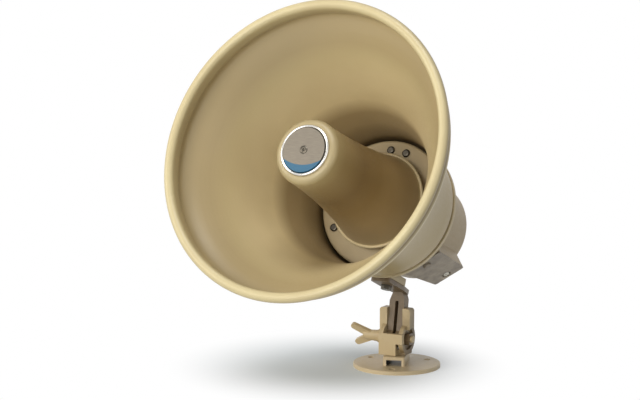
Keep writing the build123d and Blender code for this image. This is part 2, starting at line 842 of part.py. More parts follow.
# Rear cover: a tapered can with the terminal box grown out of its side
with BuildPart() as rear_cover:
    with BuildSketch(section):
        with BuildLine():
            Polyline(
                (frame_back, 0),
                (frame_back, cover_radius),
                (cover_end, cover_end_radius),
                (cover_end, 0),
                close=True,
            )
        make_face()
        fillet(vertices().sort_by_distance((cover_end, cover_end_radius))[0], cover_round)
    revolve(axis=horn_axis)
    with BuildSketch(section):
        with BuildLine():
            Polyline(
                (frame_back, 0),
                (frame_back, cover_radius - cover_wall),
                (cover_inner_end, cover_end_radius - cover_wall),
                (cover_inner_end, 0),
                close=True,
            )
        make_face()
        fillet(vertices().sort_by_distance((cover_inner_end, cover_end_radius))[0], cover_round - cover_wall)
    revolve(axis=horn_axis, mode=Mode.SUBTRACT)
    with BuildSketch(rolled(box_floor - box_wall)):
        with BuildLine():
            box_edge()
        make_face()
        fillet(vertices(), box_round)
    extrude(amount=lid_inner - box_floor + box_wall)
    with BuildSketch(rolled(box_floor)):
        with BuildLine():
            box_edge()
        make_face()
        offset(amount=-box_wall, kind=Kind.INTERSECTION)
    extrude(amount=lid_inner - box_floor, mode=Mode.SUBTRACT)
    with BuildSketch(rolled(box_floor)):
        with Locations((lid_screw_place, lid_screw_shift)):
            Circle(lid_boss_radius)
    extrude(amount=lid_inner - box_floor)
    with BuildSketch(rolled(lid_inner)):
        with Locations((lid_screw_place, lid_screw_shift)):
            Circle(screw_radius + thread_gap)
    extrude(amount=-lid_screw_length, mode=Mode.SUBTRACT)
    with BuildSketch(rolled(box_floor)):
        with Locations((wire_hole_place, wire_hole_shift)):
            Circle(wire_hole_radius)
    extrude(amount=-box_wall, mode=Mode.SUBTRACT)
    with BuildSketch(gland_plane):
        Circle(grommet_neck)
    extrude(amount=box_wall, mode=Mode.SUBTRACT)
    with BuildSketch(across(yoke_back)):
        with PolarLocations(cover_post_circle, cover_posts, start_angle=cover_post_start):
            Circle(cover_post_radius)
    extrude(amount=yoke_back - cover_inner_end)
    with BuildSketch(across(yoke_back)):
        with PolarLocations(cover_post_circle, cover_posts, start_angle=cover_post_start):
            Circle(screw_radius + screw_gap)
    extrude(amount=yoke_back - cover_end, mode=Mode.SUBTRACT)
    with BuildSketch(across(cover_end)):
        with PolarLocations(cover_post_circle, cover_posts, start_angle=cover_post_start):
            Circle(screw_head_radius + screw_gap)
    extrude(amount=cover_screw_sink, mode=Mode.SUBTRACT)
finish(rear_cover, "rear_cover")

# Three long screws hold the cover to the yoke
with BuildPart() as cover_screws:
    with BuildSketch(across(cover_end - cover_screw_sink)):
        with PolarLocations(cover_post_circle, cover_posts, start_angle=cover_post_start):
            Circle(screw_radius)
    extrude(amount=cover_end - cover_screw_sink - yoke_back + cover_screw_depth)
    with BuildSketch(across(cover_end - cover_screw_sink)):
        with PolarLocations(cover_post_circle, cover_posts, start_angle=cover_post_start):
            Circle(screw_head_radius)
    extrude(amount=-screw_head_height)
finish(cover_screws, "cover_screws")

# Lid of the terminal box, with a hole for its screw and one over the selector
with BuildPart() as terminal_cover:
    with BuildSketch(rolled(lid_inner)):
        with BuildLine():
            box_edge()
        make_face()
        fillet(vertices(), box_round)
        with Locations((lid_screw_place, lid_screw_shift)):
            Circle(screw_radius + screw_gap, mode=Mode.SUBTRACT)
        with Locations((selector_place, selector_shift)):
            Circle(selector_hole, mode=Mode.SUBTRACT)
    extrude(amount=lid_thickness)
finish(terminal_cover, "terminal_cover")

with BuildPart() as lid_screw:
    with BuildSketch(rolled(box_face)):
        with Locations((lid_screw_place, lid_screw_shift)):
            Circle(screw_radius)
    extrude(amount=-lid_screw_length)
    with BuildSketch(rolled(box_face)):
        with Locations((lid_screw_place, lid_screw_shift)):
            Circle(screw_head_radius)
    extrude(amount=screw_head_height)
    fillet(lid_screw.edges().filter_by(GeomType.CIRCLE).sort_by(Axis(rim_centre, box_out))[-1], screw_head_round)
finish(lid_screw, "lid_screw")

# Terminal strip and its screws on the floor of the box
strip_spots = [
    (strip_place, strip_shift + (index - (strip_screws - 1) / 2) * strip_length / strip_screws)
    for index in range(strip_screws)
]
with BuildPart() as terminal_strip:
    with BuildSketch(rolled(box_floor)):
        with Locations((strip_place, strip_shift)):
            Rectangle(strip_width, strip_length)
    extrude(amount=strip_height)
    with BuildSketch(rolled(box_floor + strip_height)):
        with Locations(*strip_spots):
            Circle(strip_screw_radius + thread_gap)
    extrude(amount=-strip_screw_depth - thread_gap, mode=Mode.SUBTRACT)
finish(terminal_strip, "terminal_strip")

with BuildPart() as terminal_screws:
    with BuildSketch(rolled(box_floor + strip_height)):
        with Locations(*strip_spots):
            Circle(strip_screw_radius)
    extrude(amount=-strip_screw_depth)
    with BuildSketch(rolled(box_floor + strip_height)):
        with Locations(*strip_spots):
            Circle(strip_screw_head)
    extrude(amount=strip_head_height)
finish(terminal_screws, "terminal_screws")

# Tap selector: a slotted rotor in a fixed body
with BuildPart() as selector_body:
    with BuildSketch(rolled(box_floor)):
        with Locations((selector_place, selector_shift)):
            Circle(selector_body_radius)
    extrude(amount=selector_body_height)
    with BuildSketch(rolled(box_floor + selector_foot)):
        with Locations((selector_place, selector_shift)):
            Circle(selector_radius + bolt_gap)
    extrude(amount=selector_body_height - selector_foot, mode=Mode.SUBTRACT)
finish(selector_body, "selector_body")

rotor_foot = box_floor + selector_foot + bolt_gap
rotor_top = box_face - selector_sink
with BuildPart() as tap_selector:
    with BuildSketch(rolled(rotor_foot)):
        with Locations((selector_place, selector_shift)):
            Circle(selector_radius)
    extrude(amount=rotor_top - rotor_foot)
    with BuildSketch(rolled(rotor_top)):
        with Locations((selector_place, selector_shift)):
            Rectangle(2 * selector_radius, selector_slot, rotation=selector_range / 2)
    extrude(amount=-selector_slot_depth, mode=Mode.SUBTRACT)
finish(tap_selector, "tap_selector")

# Cable gland: a rubber bush snapped into the box's rear wall
with BuildPart() as cable_gland:
    with BuildSketch(gland_plane):
        Circle(grommet_radius)
    extrude(amount=-grommet_lip)
    with BuildSketch(gland_plane):
        Circle(grommet_neck)
    extrude(amount=box_wall + grommet_inner_lip)
    with BuildSketch(gland_plane.offset(box_wall)):
        Circle(grommet_radius)
    extrude(amount=grommet_inner_lip)
    with BuildSketch(gland_plane.offset(-grommet_lip)):
        Circle(grommet_bore)
    extrude(amount=grommet_lip + box_wall + grommet_inner_lip, mode=Mode.SUBTRACT)
finish(cable_gland, "cable_gland")

# Arm: a leaning stem with a forked foot, under a pad that bolts to the driver frame's shelf
with BuildPart() as arm:
    with BuildSketch(beside(0)):
        with BuildLine():
            Polyline(
                along_stem(-stem_front, 0),
                stem_end(-stem_front),
                stem_end(stem_depth - stem_front),
                along_stem(stem_depth - stem_front, 0),
                close=True,
            )
        make_face()
        Circle(fork_hub)
    extrude(amount=fork_half, both=True)
    with BuildSketch(Plane.XZ):
        with BuildLine():
            Polyline(
                (-fork_half, pivot_height - fork_hub),
                (-fork_half, stem_shoulder),
                (-stem_waist_half, stem_waist),
                (-stem_waist_half, pivot_height + arm_height),
                (stem_waist_half, pivot_height + arm_height),
                (stem_waist_half, stem_waist),
                (fork_half, stem_shoulder),
                (fork_half, pivot_height - fork_hub),
                close=True,
            )
        make_face()
    extrude(amount=stem_reach, both=True, mode=Mode.INTERSECT)
    with BuildSketch(under(pad_top)):
        with BuildLine():
            Polyline(
                (pad_front, -pad_half),
                (pad_taper, -pad_half),
                (pad_back, -pad_back_half),
                (pad_back, pad_back_half),
                (pad_taper, pad_half),
                (pad_front, pad_half),
                close=True,
            )
        make_face()
        fillet(vertices(), pad_round)
    extrude(amount=-pad_thickness)
    with BuildSketch(beside(0)):
        with BuildLine():
            Polyline(
                along_stem(-stem_reach, -stem_reach),
                along_stem(-stem_reach, fork_slot_top - pivot_height),
                along_stem(stem_depth - stem_front - fork_web, fork_slot_top - pivot_height),
                along_stem(stem_depth - stem_front - fork_web, -stem_reach),
                close=True,
            )
        make_face()
    extrude(amount=fork_slot / 2, both=True, mode=Mode.SUBTRACT)
    with BuildSketch(beside(0)):
        Circle(clamp_bolt_radius + bolt_gap)
    extrude(amount=fork_half, both=True, mode=Mode.SUBTRACT)
    with BuildSketch(under(pad_top)):
        with Locations((arm_bolt_place, 0)):
            Circle(arm_bolt_radius + screw_gap)
    extrude(amount=-pad_thickness, mode=Mode.SUBTRACT)
finish(arm, "arm")

pad_under = pad_top + pad_thickness
with BuildPart() as arm_bolt:
    with BuildSketch(under(pad_under)):
        with Locations((arm_bolt_place, 0)):
            Circle(arm_bolt_radius)
    extrude(amount=arm_bolt_length)
    with BuildSketch(under(pad_under)):
        with Locations((arm_bolt_place, 0)):
            RegularPolygon(arm_bolt_head, 6)
    extrude(amount=-arm_bolt_head_height)
finish(arm_bolt, "arm_bolt")

# Clamp body: left side plate and ear, the front wall and the seat round the foot's dovetail
with BuildPart() as clamp_body:
    with BuildSketch(beside(-side_outer)):
        Circle(side_radius)
    extrude(amount=side_outer - jaw_inner)
    with BuildSketch(Plane.XZ):
        with BuildLine():
            ear_outline(-1)
        make_face()
        fillet(vertices().sort_by_distance((-ear_outer, ear_top))[0], ear_round)
    extrude(amount=ear_half, both=True)
    with BuildSketch(Plane.XZ.offset(front_face - front_wall)):
        with BuildLine():
            Polyline(
                (-side_outer, seat_bottom),
                (front_leg_right, seat_bottom),
                (front_leg_right, front_arm_bottom),
                (side_outer, front_arm_bottom),
                (side_outer, front_top),
                (-side_outer, front_top),
                close=True,
            )
        make_face()
    extrude(amount=front_wall)
    with BuildSketch(Plane.XY.offset(seat_bottom)):
        with Locations(((front_leg_right - side_outer) / 2, (seat_back - front_face) / 2)):
            Rectangle(front_leg_right + side_outer, seat_back + front_face)
    extrude(amount=dovetail_top - seat_bottom)
    with BuildSketch(beside(-jaw_inner)):
        Circle(bolt_boss_radius)
    extrude(amount=jaw_inner - bolt_boss_end)
    with BuildSketch(Plane.XZ):
        with BuildLine():
            dovetail_profile(part_gap)
        make_face()
    revolve(axis=Axis.Z, mode=Mode.SUBTRACT)
    with BuildSketch(beside(-jaw_inner)):
        Circle(clamp_bolt_radius + bolt_gap)
    extrude(amount=-bolt_boss_end, mode=Mode.SUBTRACT)
finish(clamp_body, "clamp_body")

# Clamp jaw: right side plate and ear, notched round the front wall's arm, with a lip on the dovetail
with BuildPart() as clamp_jaw:
    with BuildSketch(beside(jaw_inner)):
        Circle(side_radius)
    extrude(amount=side_outer - jaw_inner)
    with BuildSketch(Plane.XZ):
        with BuildLine():
            ear_outline(1)
        make_face()
        fillet(vertices().sort_by_distance((ear_outer, ear_top))[0], ear_round)
    extrude(amount=ear_half, both=True)
    with BuildSketch(Plane.XY.offset(seat_bottom)):
        with Locations(((jaw_lip + side_outer) / 2, 0)):
            Rectangle(side_outer - jaw_lip, 2 * jaw_lip_half)
    extrude(amount=dovetail_top - seat_bottom)
    with BuildSketch(beside(side_outer - jaw_recess)):
        Circle(jaw_recess_radius)
    extrude(amount=ear_outer, mode=Mode.SUBTRACT)
    with BuildSketch(Plane.XZ.offset(front_face - front_wall - part_gap)):
        with Locations((side_outer, (front_arm_bottom + front_top) / 2)):
            Rectangle(side_outer, front_top - front_arm_bottom + 2 * part_gap)
    extrude(amount=side_radius, mode=Mode.SUBTRACT)
    with BuildSketch(Plane.XZ):
        with BuildLine():
            dovetail_profile(part_gap)
        make_face()
    revolve(axis=Axis.Z, mode=Mode.SUBTRACT)
    with BuildSketch(beside(jaw_inner)):
        Circle(clamp_bolt_radius + bolt_gap)
    extrude(amount=side_outer, mode=Mode.SUBTRACT)
finish(clamp_jaw, "clamp_jaw")

# Nut in the jaw's recess, and washer under the wing bolt
nut_face = side_outer - jaw_recess
with BuildPart() as clamp_nut:
    with BuildSketch(beside(nut_face)):
        RegularPolygon(nut_radius, 6)
        Circle(clamp_bolt_radius + bolt_gap, mode=Mode.SUBTRACT)
    extrude(amount=nut_height)
finish(clamp_nut, "clamp_nut")

with BuildPart() as clamp_washer:
    with BuildSketch(beside(-bolt_boss_end)):
        Circle(washer_radius)
        Circle(clamp_bolt_radius + bolt_gap, mode=Mode.SUBTRACT)
    extrude(amount=-washer_thickness)
finish(clamp_washer, "clamp_washer")

# Wing bolt: shank, tapered hub and two wings
hub_inner = bolt_boss_end + washer_thickness + bolt_gap
hub_outer = hub_inner + wing_hub_length
wing_plane = Plane(
    origin=pivot,
    x_dir=(1, 0, 0),
    z_dir=(0, -cos(radians(wing_turn)), -sin(radians(wing_turn))),
)
with BuildPart() as wing_bolt:
    with BuildSketch(beside(-hub_inner)):
        Circle(clamp_bolt_radius)
    extrude(amount=hub_inner + nut_face + nut_height + bolt_tail)
    with BuildSketch(beside(-hub_inner)):
        Circle(wing_hub_radius)
    with BuildSketch(beside(-hub_outer)):
        Circle(wing_hub_radius - wing_hub_taper)
    loft()
    with BuildSketch(wing_plane):
        for side in (-1, 1):
            with BuildLine():
                wing_outline(side)
            make_face()
    extrude(amount=wing_thickness / 2, both=True)
finish(wing_bolt, "wing_bolt")

# Base: round flange, banding block and the dovetail boss that the clamp turns on
with BuildPart() as base:
    with BuildSketch(base_plane):
        Circle(flange_radius)
    extrude(amount=flange_thickness)
    fillet(base.edges().filter_by(GeomType.CIRCLE).sort_by(Axis.Z)[-1], flange_round)
    with BuildSketch(base_plane.offset(flange_thickness)):
        with Locations((0, (block_back - block_front) / 2)):
            RectangleRounded(2 * block_half, block_front + block_back, block_round)
    extrude(amount=block_top - flange_thickness)
    with BuildSketch(base_plane.offset(flange_thickness)):
        with Locations((0, (block_back - block_front) / 2)):
            Rectangle(2 * tunnel_half, block_front + block_back)
    extrude(amount=tunnel_top - flange_thickness, mode=Mode.SUBTRACT)
    with BuildSketch(Plane.XZ):
        with BuildLine():
            dovetail_profile(0)
        make_face()
    revolve(axis=Axis.Z)
    with BuildSketch(base_plane):
        with PolarLocations(foot_hole_circle, foot_hole_count, start_angle=-90):
            Circle(foot_hole_radius)
    extrude(amount=flange_thickness, mode=Mode.SUBTRACT)
finish(base, "base")
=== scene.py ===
# %% [markdown]
# A paging horn, dressed for a picture
#
# The horn's shapes come from a imported model, one object for each real piece. This script keeps those
# pieces, gives each the finish of the real one, with painted light and shade in the colours of several
# of them, and makes again, with smoother surfaces, the spun and cast pieces that the eye rests on.
# Everything is in metres, in the model's own frame: +Z is up, the origin is under the foot, and the horn
# points along -Y, tilted up.

# %% Load the imported pieces
import json
import math

import bmesh
import bpy
from mathutils import Matrix, Vector


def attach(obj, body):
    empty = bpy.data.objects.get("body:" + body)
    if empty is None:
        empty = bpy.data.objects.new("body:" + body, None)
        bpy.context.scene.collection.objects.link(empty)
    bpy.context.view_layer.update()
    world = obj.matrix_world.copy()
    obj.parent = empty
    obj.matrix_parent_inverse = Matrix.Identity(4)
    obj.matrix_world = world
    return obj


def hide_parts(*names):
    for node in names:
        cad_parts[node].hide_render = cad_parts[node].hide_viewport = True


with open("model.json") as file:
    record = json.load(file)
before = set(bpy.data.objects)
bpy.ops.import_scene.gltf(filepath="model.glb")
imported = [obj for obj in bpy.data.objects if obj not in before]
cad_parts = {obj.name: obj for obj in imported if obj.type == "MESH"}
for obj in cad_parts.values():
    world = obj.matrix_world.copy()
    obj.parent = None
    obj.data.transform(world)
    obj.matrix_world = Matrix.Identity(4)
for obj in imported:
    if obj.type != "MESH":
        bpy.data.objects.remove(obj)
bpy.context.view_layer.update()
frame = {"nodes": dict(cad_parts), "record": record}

# %% [markdown]
# The real horn is one long object turned about its own axis, and the bracket tilts that axis. So most
# sizes are easiest to say along the axis: s is how far behind the plane of the rim, and r is how far
# from the axis. One matrix then carries such a place into the model's frame, and its inverse carries a
# place on the model back. The lengths match the model's, in millimetres.

# %% The horn's own frame
MM = 0.001
HORN_TILT = math.radians(22.5)
PIVOT_HEIGHT = 25.0
ARM_HEIGHT = 100.3
RIM_TO_PIVOT = 223.8

BACK = Vector((0.0, math.cos(HORN_TILT), -math.sin(HORN_TILT)))
UP = Vector((0.0, math.sin(HORN_TILT), math.cos(HORN_TILT)))
PIVOT = Vector((0.0, 0.0, PIVOT_HEIGHT))
RIM_CENTRE = (PIVOT + UP * ARM_HEIGHT - BACK * RIM_TO_PIVOT) * MM
HORN_FRAME = Matrix.Translation(RIM_CENTRE) @ Matrix((
    (1.0, BACK.x, UP.x),
    (0.0, BACK.y, UP.y),
    (0.0, BACK.z, UP.z),
)).to_4x4()
TO_HORN = HORN_FRAME.inverted()
print("centre of the rim:", [round(v, 4) for v in RIM_CENTRE])

# %% [markdown]
# The photograph was taken from a little above, to the right of where the horn points. A long lens
# keeps the ellipse of the rim calm. The camera is set by where it looks, from which side, and how far
# off, which are the things that a photographer would change.

# %% Camera
AZIMUTH = math.radians(29.17)
PITCH = math.radians(6.53)
CAMERA_DISTANCE = 1298.2 * MM
LENS = 84.375
FILM_WIDTH = 36.0

target = Vector((-58.7, -32.75, 146.1)) * MM
direction = Vector((
    math.cos(PITCH) * math.sin(AZIMUTH),
    -math.cos(PITCH) * math.cos(AZIMUTH),
    math.sin(PITCH),
))
camera_data = bpy.data.cameras.new("camera")
camera_data.lens = LENS
camera_data.sensor_width = FILM_WIDTH
camera = bpy.data.objects.new("camera", camera_data)
camera.location = target + direction * CAMERA_DISTANCE
camera.rotation_euler = (-direction).to_track_quat("-Z", "Y").to_euler()
bpy.context.scene.collection.objects.link(camera)
bpy.context.scene.camera = camera
print("camera at", [round(v, 3) for v in camera.location])

# %% [markdown]
# Colours are written as a painter would read them off a chart, as sRGB hex. Blender works in linear
# light, so one function turns them. A second function adds a shader node, sets what is not linked,
# and links the rest, so that each material below reads as a list of its layers.

# %% Colour and node helpers
def linear(code):
    """sRGB hex colour as linear RGBA."""
    parts = [int(code[i:i + 2], 16) / 255 for i in (1, 3, 5)]
    return [c / 12.92 if c <= 0.04045 else ((c + 0.055) / 1.055) ** 2.4 for c in parts] + [1.0]


def add(tree, kind, inputs=None, **settings):
    """Add a shader node, with its settings, and its inputs as values or as sockets to link."""
    node = tree.nodes.new(kind)
    for name, value in settings.items():
        setattr(node, name, value)
    for name, value in (inputs or {}).items():
        if isinstance(value, bpy.types.NodeSocket):
            tree.links.new(value, node.inputs[name])
        else:
            node.inputs[name].default_value = value
    return node


def new_material(name):
    """An empty node material with its output, ready for layers."""
    material = bpy.data.materials.new(name)
    material.use_nodes = True
    material.node_tree.nodes.clear()
    output = material.node_tree.nodes.new("ShaderNodeOutputMaterial")
    return material, material.node_tree, output


# %% [markdown]
# Much of what happens to a horn's surface happens along its axis: it is spun round it, and sprayed from
# its mouth. So a Mapping node turns a place on any piece into the horn's own frame, where Y is the depth
# behind the rim. A colour ramp along Y can then hold colours, each with the depth at which it is found,
# in millimetres: the enamel's tones, and on several pieces painted light and shade as well. A horn's
# paint could also be an image, but a ramp has no seams, and a colour is moved by changing one number.

# %% Patterns along the horn
def along_horn(tree):
    """A place on the piece, as the model has it and as the horn's own frame has it."""
    place = add(tree, "ShaderNodeTexCoord").outputs["Object"]
    turned = add(tree, "ShaderNodeMapping", {
        "Vector": place, "Location": TO_HORN.to_translation(), "Rotation": TO_HORN.to_euler(),
    })
    return place, turned.outputs["Vector"]


def paint_and_shade_by_depth(tree, along, coats):
    """The colour at each depth behind the rim: the paint's tone, and on some pieces painted light and
    shade.
    """
    first_depth, first_colour = coats[0]
    last_depth, last_colour = coats[-1]
    depth = add(tree, "ShaderNodeSeparateXYZ", {"Vector": along})
    share = add(tree, "ShaderNodeMapRange", {
        "Value": depth.outputs["Y"], "From Min": first_depth * MM, "From Max": last_depth * MM,
    })
    ramp = add(tree, "ShaderNodeValToRGB", {"Fac": share.outputs["Result"]})
    stops = ramp.color_ramp.elements
    stops[0].color = linear(first_colour)
    stops[-1].color = linear(last_colour)
    for deep, colour in coats[1:-1]:
        stops.new((deep - first_depth) / (last_depth - first_depth)).color = linear(colour)
    return ramp.outputs["Color"]


# %% [markdown]
# Baked enamel on metal. A sprayed and baked coat is a satin skin with a fine orange peel. On a spun
# piece the faint rings of the spinning show under it, and everywhere the colour is a little uneven,
# in clouds where the coat is thinner. The peel is really finer than a millimetre, and is drawn at 2.5 mm
# so that it shows at this size. The rings are drawn 3 mm apart for the same reason. A wave texture
# repeats every tau / 20 at a scale of 1, which gives its scale. A noise seldom leaves its middle, so
# only that is stretched over the range wanted.

# %% Enamel
PEEL = 2.5 * MM
PEEL_HEIGHT = 0.4 * MM
RING_PITCH = 3.0 * MM
RING_HEIGHT = 0.3 * MM
WAVE_REPEAT = math.tau / 20
CLOUD = 70.0 * MM
CLOUD_EDGES = {"From Min": 0.35, "From Max": 0.65}
NOISE_MIDDLE = {"From Min": 0.3, "From Max": 0.7}
ENAMEL_IOR = 1.5


def enamel(name, coats, thin_coat, roughness, peel=0.10, rings=0.0, cloud=0.5, patch=CLOUD):
    """Sprayed and baked enamel: a colour by depth, with painted light and shade on some pieces, and
    clouds of one thinner coat over them.
    """
    material, tree, output = new_material(name)
    place, along = along_horn(tree)
    clouds = add(tree, "ShaderNodeTexNoise", {"Vector": place, "Scale": 1 / patch, "Detail": 3.0})
    thinness = add(tree, "ShaderNodeMapRange", {
        "Value": clouds.outputs["Fac"], "To Min": 0.0, "To Max": cloud, **CLOUD_EDGES,
    })
    paint = add(tree, "ShaderNodeMix", {
        "Factor": thinness.outputs["Result"],
        "A": paint_and_shade_by_depth(tree, along, coats),
        "B": linear(thin_coat),
    }, data_type="RGBA")
    skin = add(tree, "ShaderNodeTexNoise", {"Vector": place, "Scale": 1 / PEEL, "Detail": 2.0})
    rough = add(tree, "ShaderNodeMapRange", {
        "Value": skin.outputs["Fac"], "To Min": roughness - 0.04, "To Max": roughness + 0.05,
        **NOISE_MIDDLE,
    })
    peel_bump = add(tree, "ShaderNodeBump", {
        "Height": skin.outputs["Fac"], "Strength": peel, "Distance": PEEL_HEIGHT,
    })
    bands = add(tree, "ShaderNodeTexWave", {
        "Vector": along, "Scale": WAVE_REPEAT / RING_PITCH, "Distortion": 0.6, "Detail": 1.0,
    }, bands_direction="Y")
    ring_bump = add(tree, "ShaderNodeBump", {
        "Height": bands.outputs["Fac"], "Strength": rings, "Distance": RING_HEIGHT,
        "Normal": peel_bump.outputs["Normal"],
    })
    shader = add(tree, "ShaderNodeBsdfPrincipled", {
        "Base Color": paint.outputs["Result"], "Roughness": rough.outputs["Result"],
        "Normal": ring_bump.outputs["Normal"], "IOR": ENAMEL_IOR,
    })
    tree.links.new(shader.outputs["BSDF"], output.inputs["Surface"])
    return material


# %% [markdown]
# Baked enamel on spun aluminium. The bell and the bullet are spun over a former, sprayed, and baked.
# The colours along the axis hold painted light and shade as well as the enamel's tone. Inside the bell,
# the wall just behind the curl is darkened with painted shade, the wall half way in is lightened with
# painted light, and deep in the throat the colour darkens with painted shade to near black at the gap
# before the throat plate, a painted shadow. The outside of the bell has colours of its own. They meet the
# inner ones at the front of the curl. The curl's outer flank is darkened with painted shade, and the
# ridge behind it is lightened with painted light. The bullet is lighter at its ends and darker along its
# flank, painted shade, and its rolled rim is a bright line of painted highlight.

# %% Enamel on the spun pieces
# Painted light and shade inside the bell: darker behind the curl, lighter half way in, darker deep in the
# throat, near black at the gap.
bell_paint_and_shade = [
    (-4.0, "#C6B88E"), (-1.0, "#C6B88E"), (2.0, "#BBAB82"), (6.0, "#B2A27A"), (10.0, "#AD9B75"),
    (18.0, "#A2906A"), (32.0, "#A5936C"), (46.0, "#BCAB81"), (62.0, "#CCBA90"), (84.0, "#DCCA9D"),
    (101.0, "#A8946E"), (118.0, "#B39F78"), (140.0, "#8E7A57"), (149.0, "#6A583E"), (160.0, "#3E3325"),
]
# Painted shade on the curl's outer flank, and painted light on the ridge behind it.
outer_paint_and_shade = [
    (-4.0, "#C6B88E"), (-2.5, "#BFB086"), (0.0, "#A08E69"), (4.0, "#87754F"), (11.0, "#8A7854"),
    (15.0, "#D0BE93"), (22.0, "#C6B48A"), (32.0, "#B29F76"), (160.0, "#B29E75"),
]
# Painted shade along the bullet's flank, and a painted highlight on its rolled rim.
bullet_paint_and_shade = [
    (0.0, "#B0A077"), (14.0, "#A89870"), (26.0, "#94825D"), (56.0, "#7C694A"), (80.0, "#917D59"),
    (105.0, "#B5A17B"), (136.0, "#C2AF88"), (139.0, "#DCCDA4"), (142.0, "#DCCDA4"),
]
on_spun = {"roughness": 0.37, "rings": 0.03, "cloud": 0.35}
bell_enamel = enamel("baked_enamel_in_spun_bell", bell_paint_and_shade, "#AE9A70", **on_spun)
outer_enamel = enamel("baked_enamel_round_spun_bell", outer_paint_and_shade, "#A8946C", **on_spun)
bullet_enamel = enamel("baked_enamel_on_spun_bullet", bullet_paint_and_shade, "#8E7A57", **on_spun)
print("coats in the bell, round it, on the bullet:", len(bell_paint_and_shade), len(outer_paint_and_shade), len(bullet_paint_and_shade))

# %% [markdown]
# Painted castings. The foot, the clamp, the throat plate and the driver frame are cast, then sprayed with
# the same enamel. A casting's skin is grainier than spun sheet, so the peel is stronger. The foot has the
# palest colour. The jaw of the clamp darkens towards its rear, painted shade. The arm under the horn, and
# the nut in the jaw's recess, are a dark brown that is painted shade, and the rear cover and its lid are
# duller. The lid is also greyer and darker, painted shade, most at its front. Dust and wear come in
# patches of about 12 mm.

# %% Enamel on the cast and pressed pieces
WORN_PATCH = 12.0 * MM

plate_coats = [(140.0, "#CBB994"), (170.0, "#C2B08B")]
bracket_coats = [(180.0, "#C9B48C"), (280.0, "#C9B48C")]
foot_coats = [(180.0, "#CFBC98"), (280.0, "#CFBC98")]
# The jaw darkens towards its rear: painted shade.
jaw_paint_and_shade = [(200.0, "#C9B48C"), (212.0, "#C2AD85"), (219.0, "#8C7856"), (230.0, "#6E5C44")]
# The arm's dark brown is painted shade under the bell.
arm_paint_and_shade = [(190.0, "#766349"), (240.0, "#7E6A4E")]
cover_coats = [(160.0, "#B09C78"), (230.0, "#A48F6B")]
# The lid's greyer, darker colour is painted shade, darkest at its front.
lid_paint_and_shade = [(150.0, "#8C806E"), (230.0, "#A3947D")]

plate_enamel = enamel("enamel_on_die_cast_plate", plate_coats, "#A8946E", 0.44, peel=0.22, cloud=0.7)
bracket_enamel = enamel("enamel_on_die_cast_bracket", bracket_coats, "#AE986F", 0.40, peel=0.35)
foot_enamel = enamel("enamel_on_die_cast_foot", foot_coats, "#B5A27F", 0.42, peel=0.35)
jaw_enamel = enamel(
    "enamel_with_painted_shade_on_clamp_jaw", jaw_paint_and_shade, "#8A7653", 0.46, peel=0.35, cloud=0.6, patch=WORN_PATCH,
)
arm_enamel = enamel(
    "enamel_on_forged_arm", arm_paint_and_shade, "#5E4D38", 0.40, peel=0.35, cloud=0.6, patch=WORN_PATCH,
)
cover_enamel = enamel("enamel_on_drawn_cover", cover_coats, "#98825E", 0.46, peel=0.20, cloud=0.7)
lid_enamel = enamel(
    "enamel_on_pressed_lid", lid_paint_and_shade, "#6E6252", 0.44, peel=0.22, cloud=0.8, patch=WORN_PATCH,
)
print("enamels so far:", [material.name for material in bpy.data.materials if "enamel" in material.name])

# %% [markdown]
# Metals left bare. The ring round the badge is polished aluminium. The screws at the back are
# zinc-plated, with soft cloudy patches, and those in the throat and the nose are blackened in hot oil.
# A metal has no body colour of its own but the one it mirrors, so each needs little more than a tint and
# a roughness that varies. A drawn or wound piece gets the same noise, stretched into streaks.

# %% Bare metals
GRAIN_HEIGHT = 0.2 * MM
EVEN = (1.0, 1.0, 1.0)


def bare_metal(name, colour, dull, roughness, spread, grain, stretch=EVEN, bump=0.05):
    """A bare metal whose colour and roughness vary with a grain, stretched into streaks if drawn."""
    material, tree, output = new_material(name)
    place = add(tree, "ShaderNodeTexCoord").outputs["Object"]
    along = add(tree, "ShaderNodeMapping", {
        "Vector": place, "Rotation": TO_HORN.to_euler(), "Scale": stretch,
    })
    noise = add(tree, "ShaderNodeTexNoise", {
        "Vector": along.outputs["Vector"], "Scale": 1 / grain, "Detail": 4.0,
    })
    tint = add(tree, "ShaderNodeMix", {
        "Factor": noise.outputs["Fac"], "A": linear(colour), "B": linear(dull),
    }, data_type="RGBA")
    rough = add(tree, "ShaderNodeMapRange", {
        "Value": noise.outputs["Fac"], "To Min": roughness - spread, "To Max": roughness + spread,
        **NOISE_MIDDLE,
    })
    relief = add(tree, "ShaderNodeBump", {
        "Height": noise.outputs["Fac"], "Strength": bump, "Distance": GRAIN_HEIGHT,
    })
    shader = add(tree, "ShaderNodeBsdfPrincipled", {
        "Base Color": tint.outputs["Result"], "Metallic": 1.0, "Roughness": rough.outputs["Result"],
        "Normal": relief.outputs["Normal"],
    })
    tree.links.new(shader.outputs["BSDF"], output.inputs["Surface"])
    return material


zinc_steel = bare_metal("zinc_plated_steel", "#A5A196", "#7D796F", 0.36, 0.10, 3.0 * MM)
dark_steel = bare_metal("oil_blackened_steel", "#6B655A", "#4A463F", 0.34, 0.08, 2.0 * MM)
polished_edge = bare_metal(
    "polished_aluminium_edge", "#E0DDD6", "#C9C6BF", 0.16, 0.04, 4.0 * MM, bump=0.02,
)
cast_aluminium = bare_metal(
    "raw_die_cast_aluminium", "#A9A7A2", "#8C8A85", 0.55, 0.08, 2.0 * MM, bump=0.2,
)
drawn_tube = bare_metal(
    "drawn_aluminium_tube", "#B9B7B1", "#A3A19B", 0.38, 0.08, 2.0 * MM, stretch=(1.0, 0.1, 1.0),
)
soft_iron = bare_metal("zinc_plated_soft_iron", "#B4B1A6", "#918E82", 0.45, 0.10, 4.0 * MM)
laminations = bare_metal(
    "varnished_steel_laminations", "#54483C", "#3A322B", 0.55, 0.10, 0.6 * MM, stretch=(1.0, 8.0, 1.0),
)
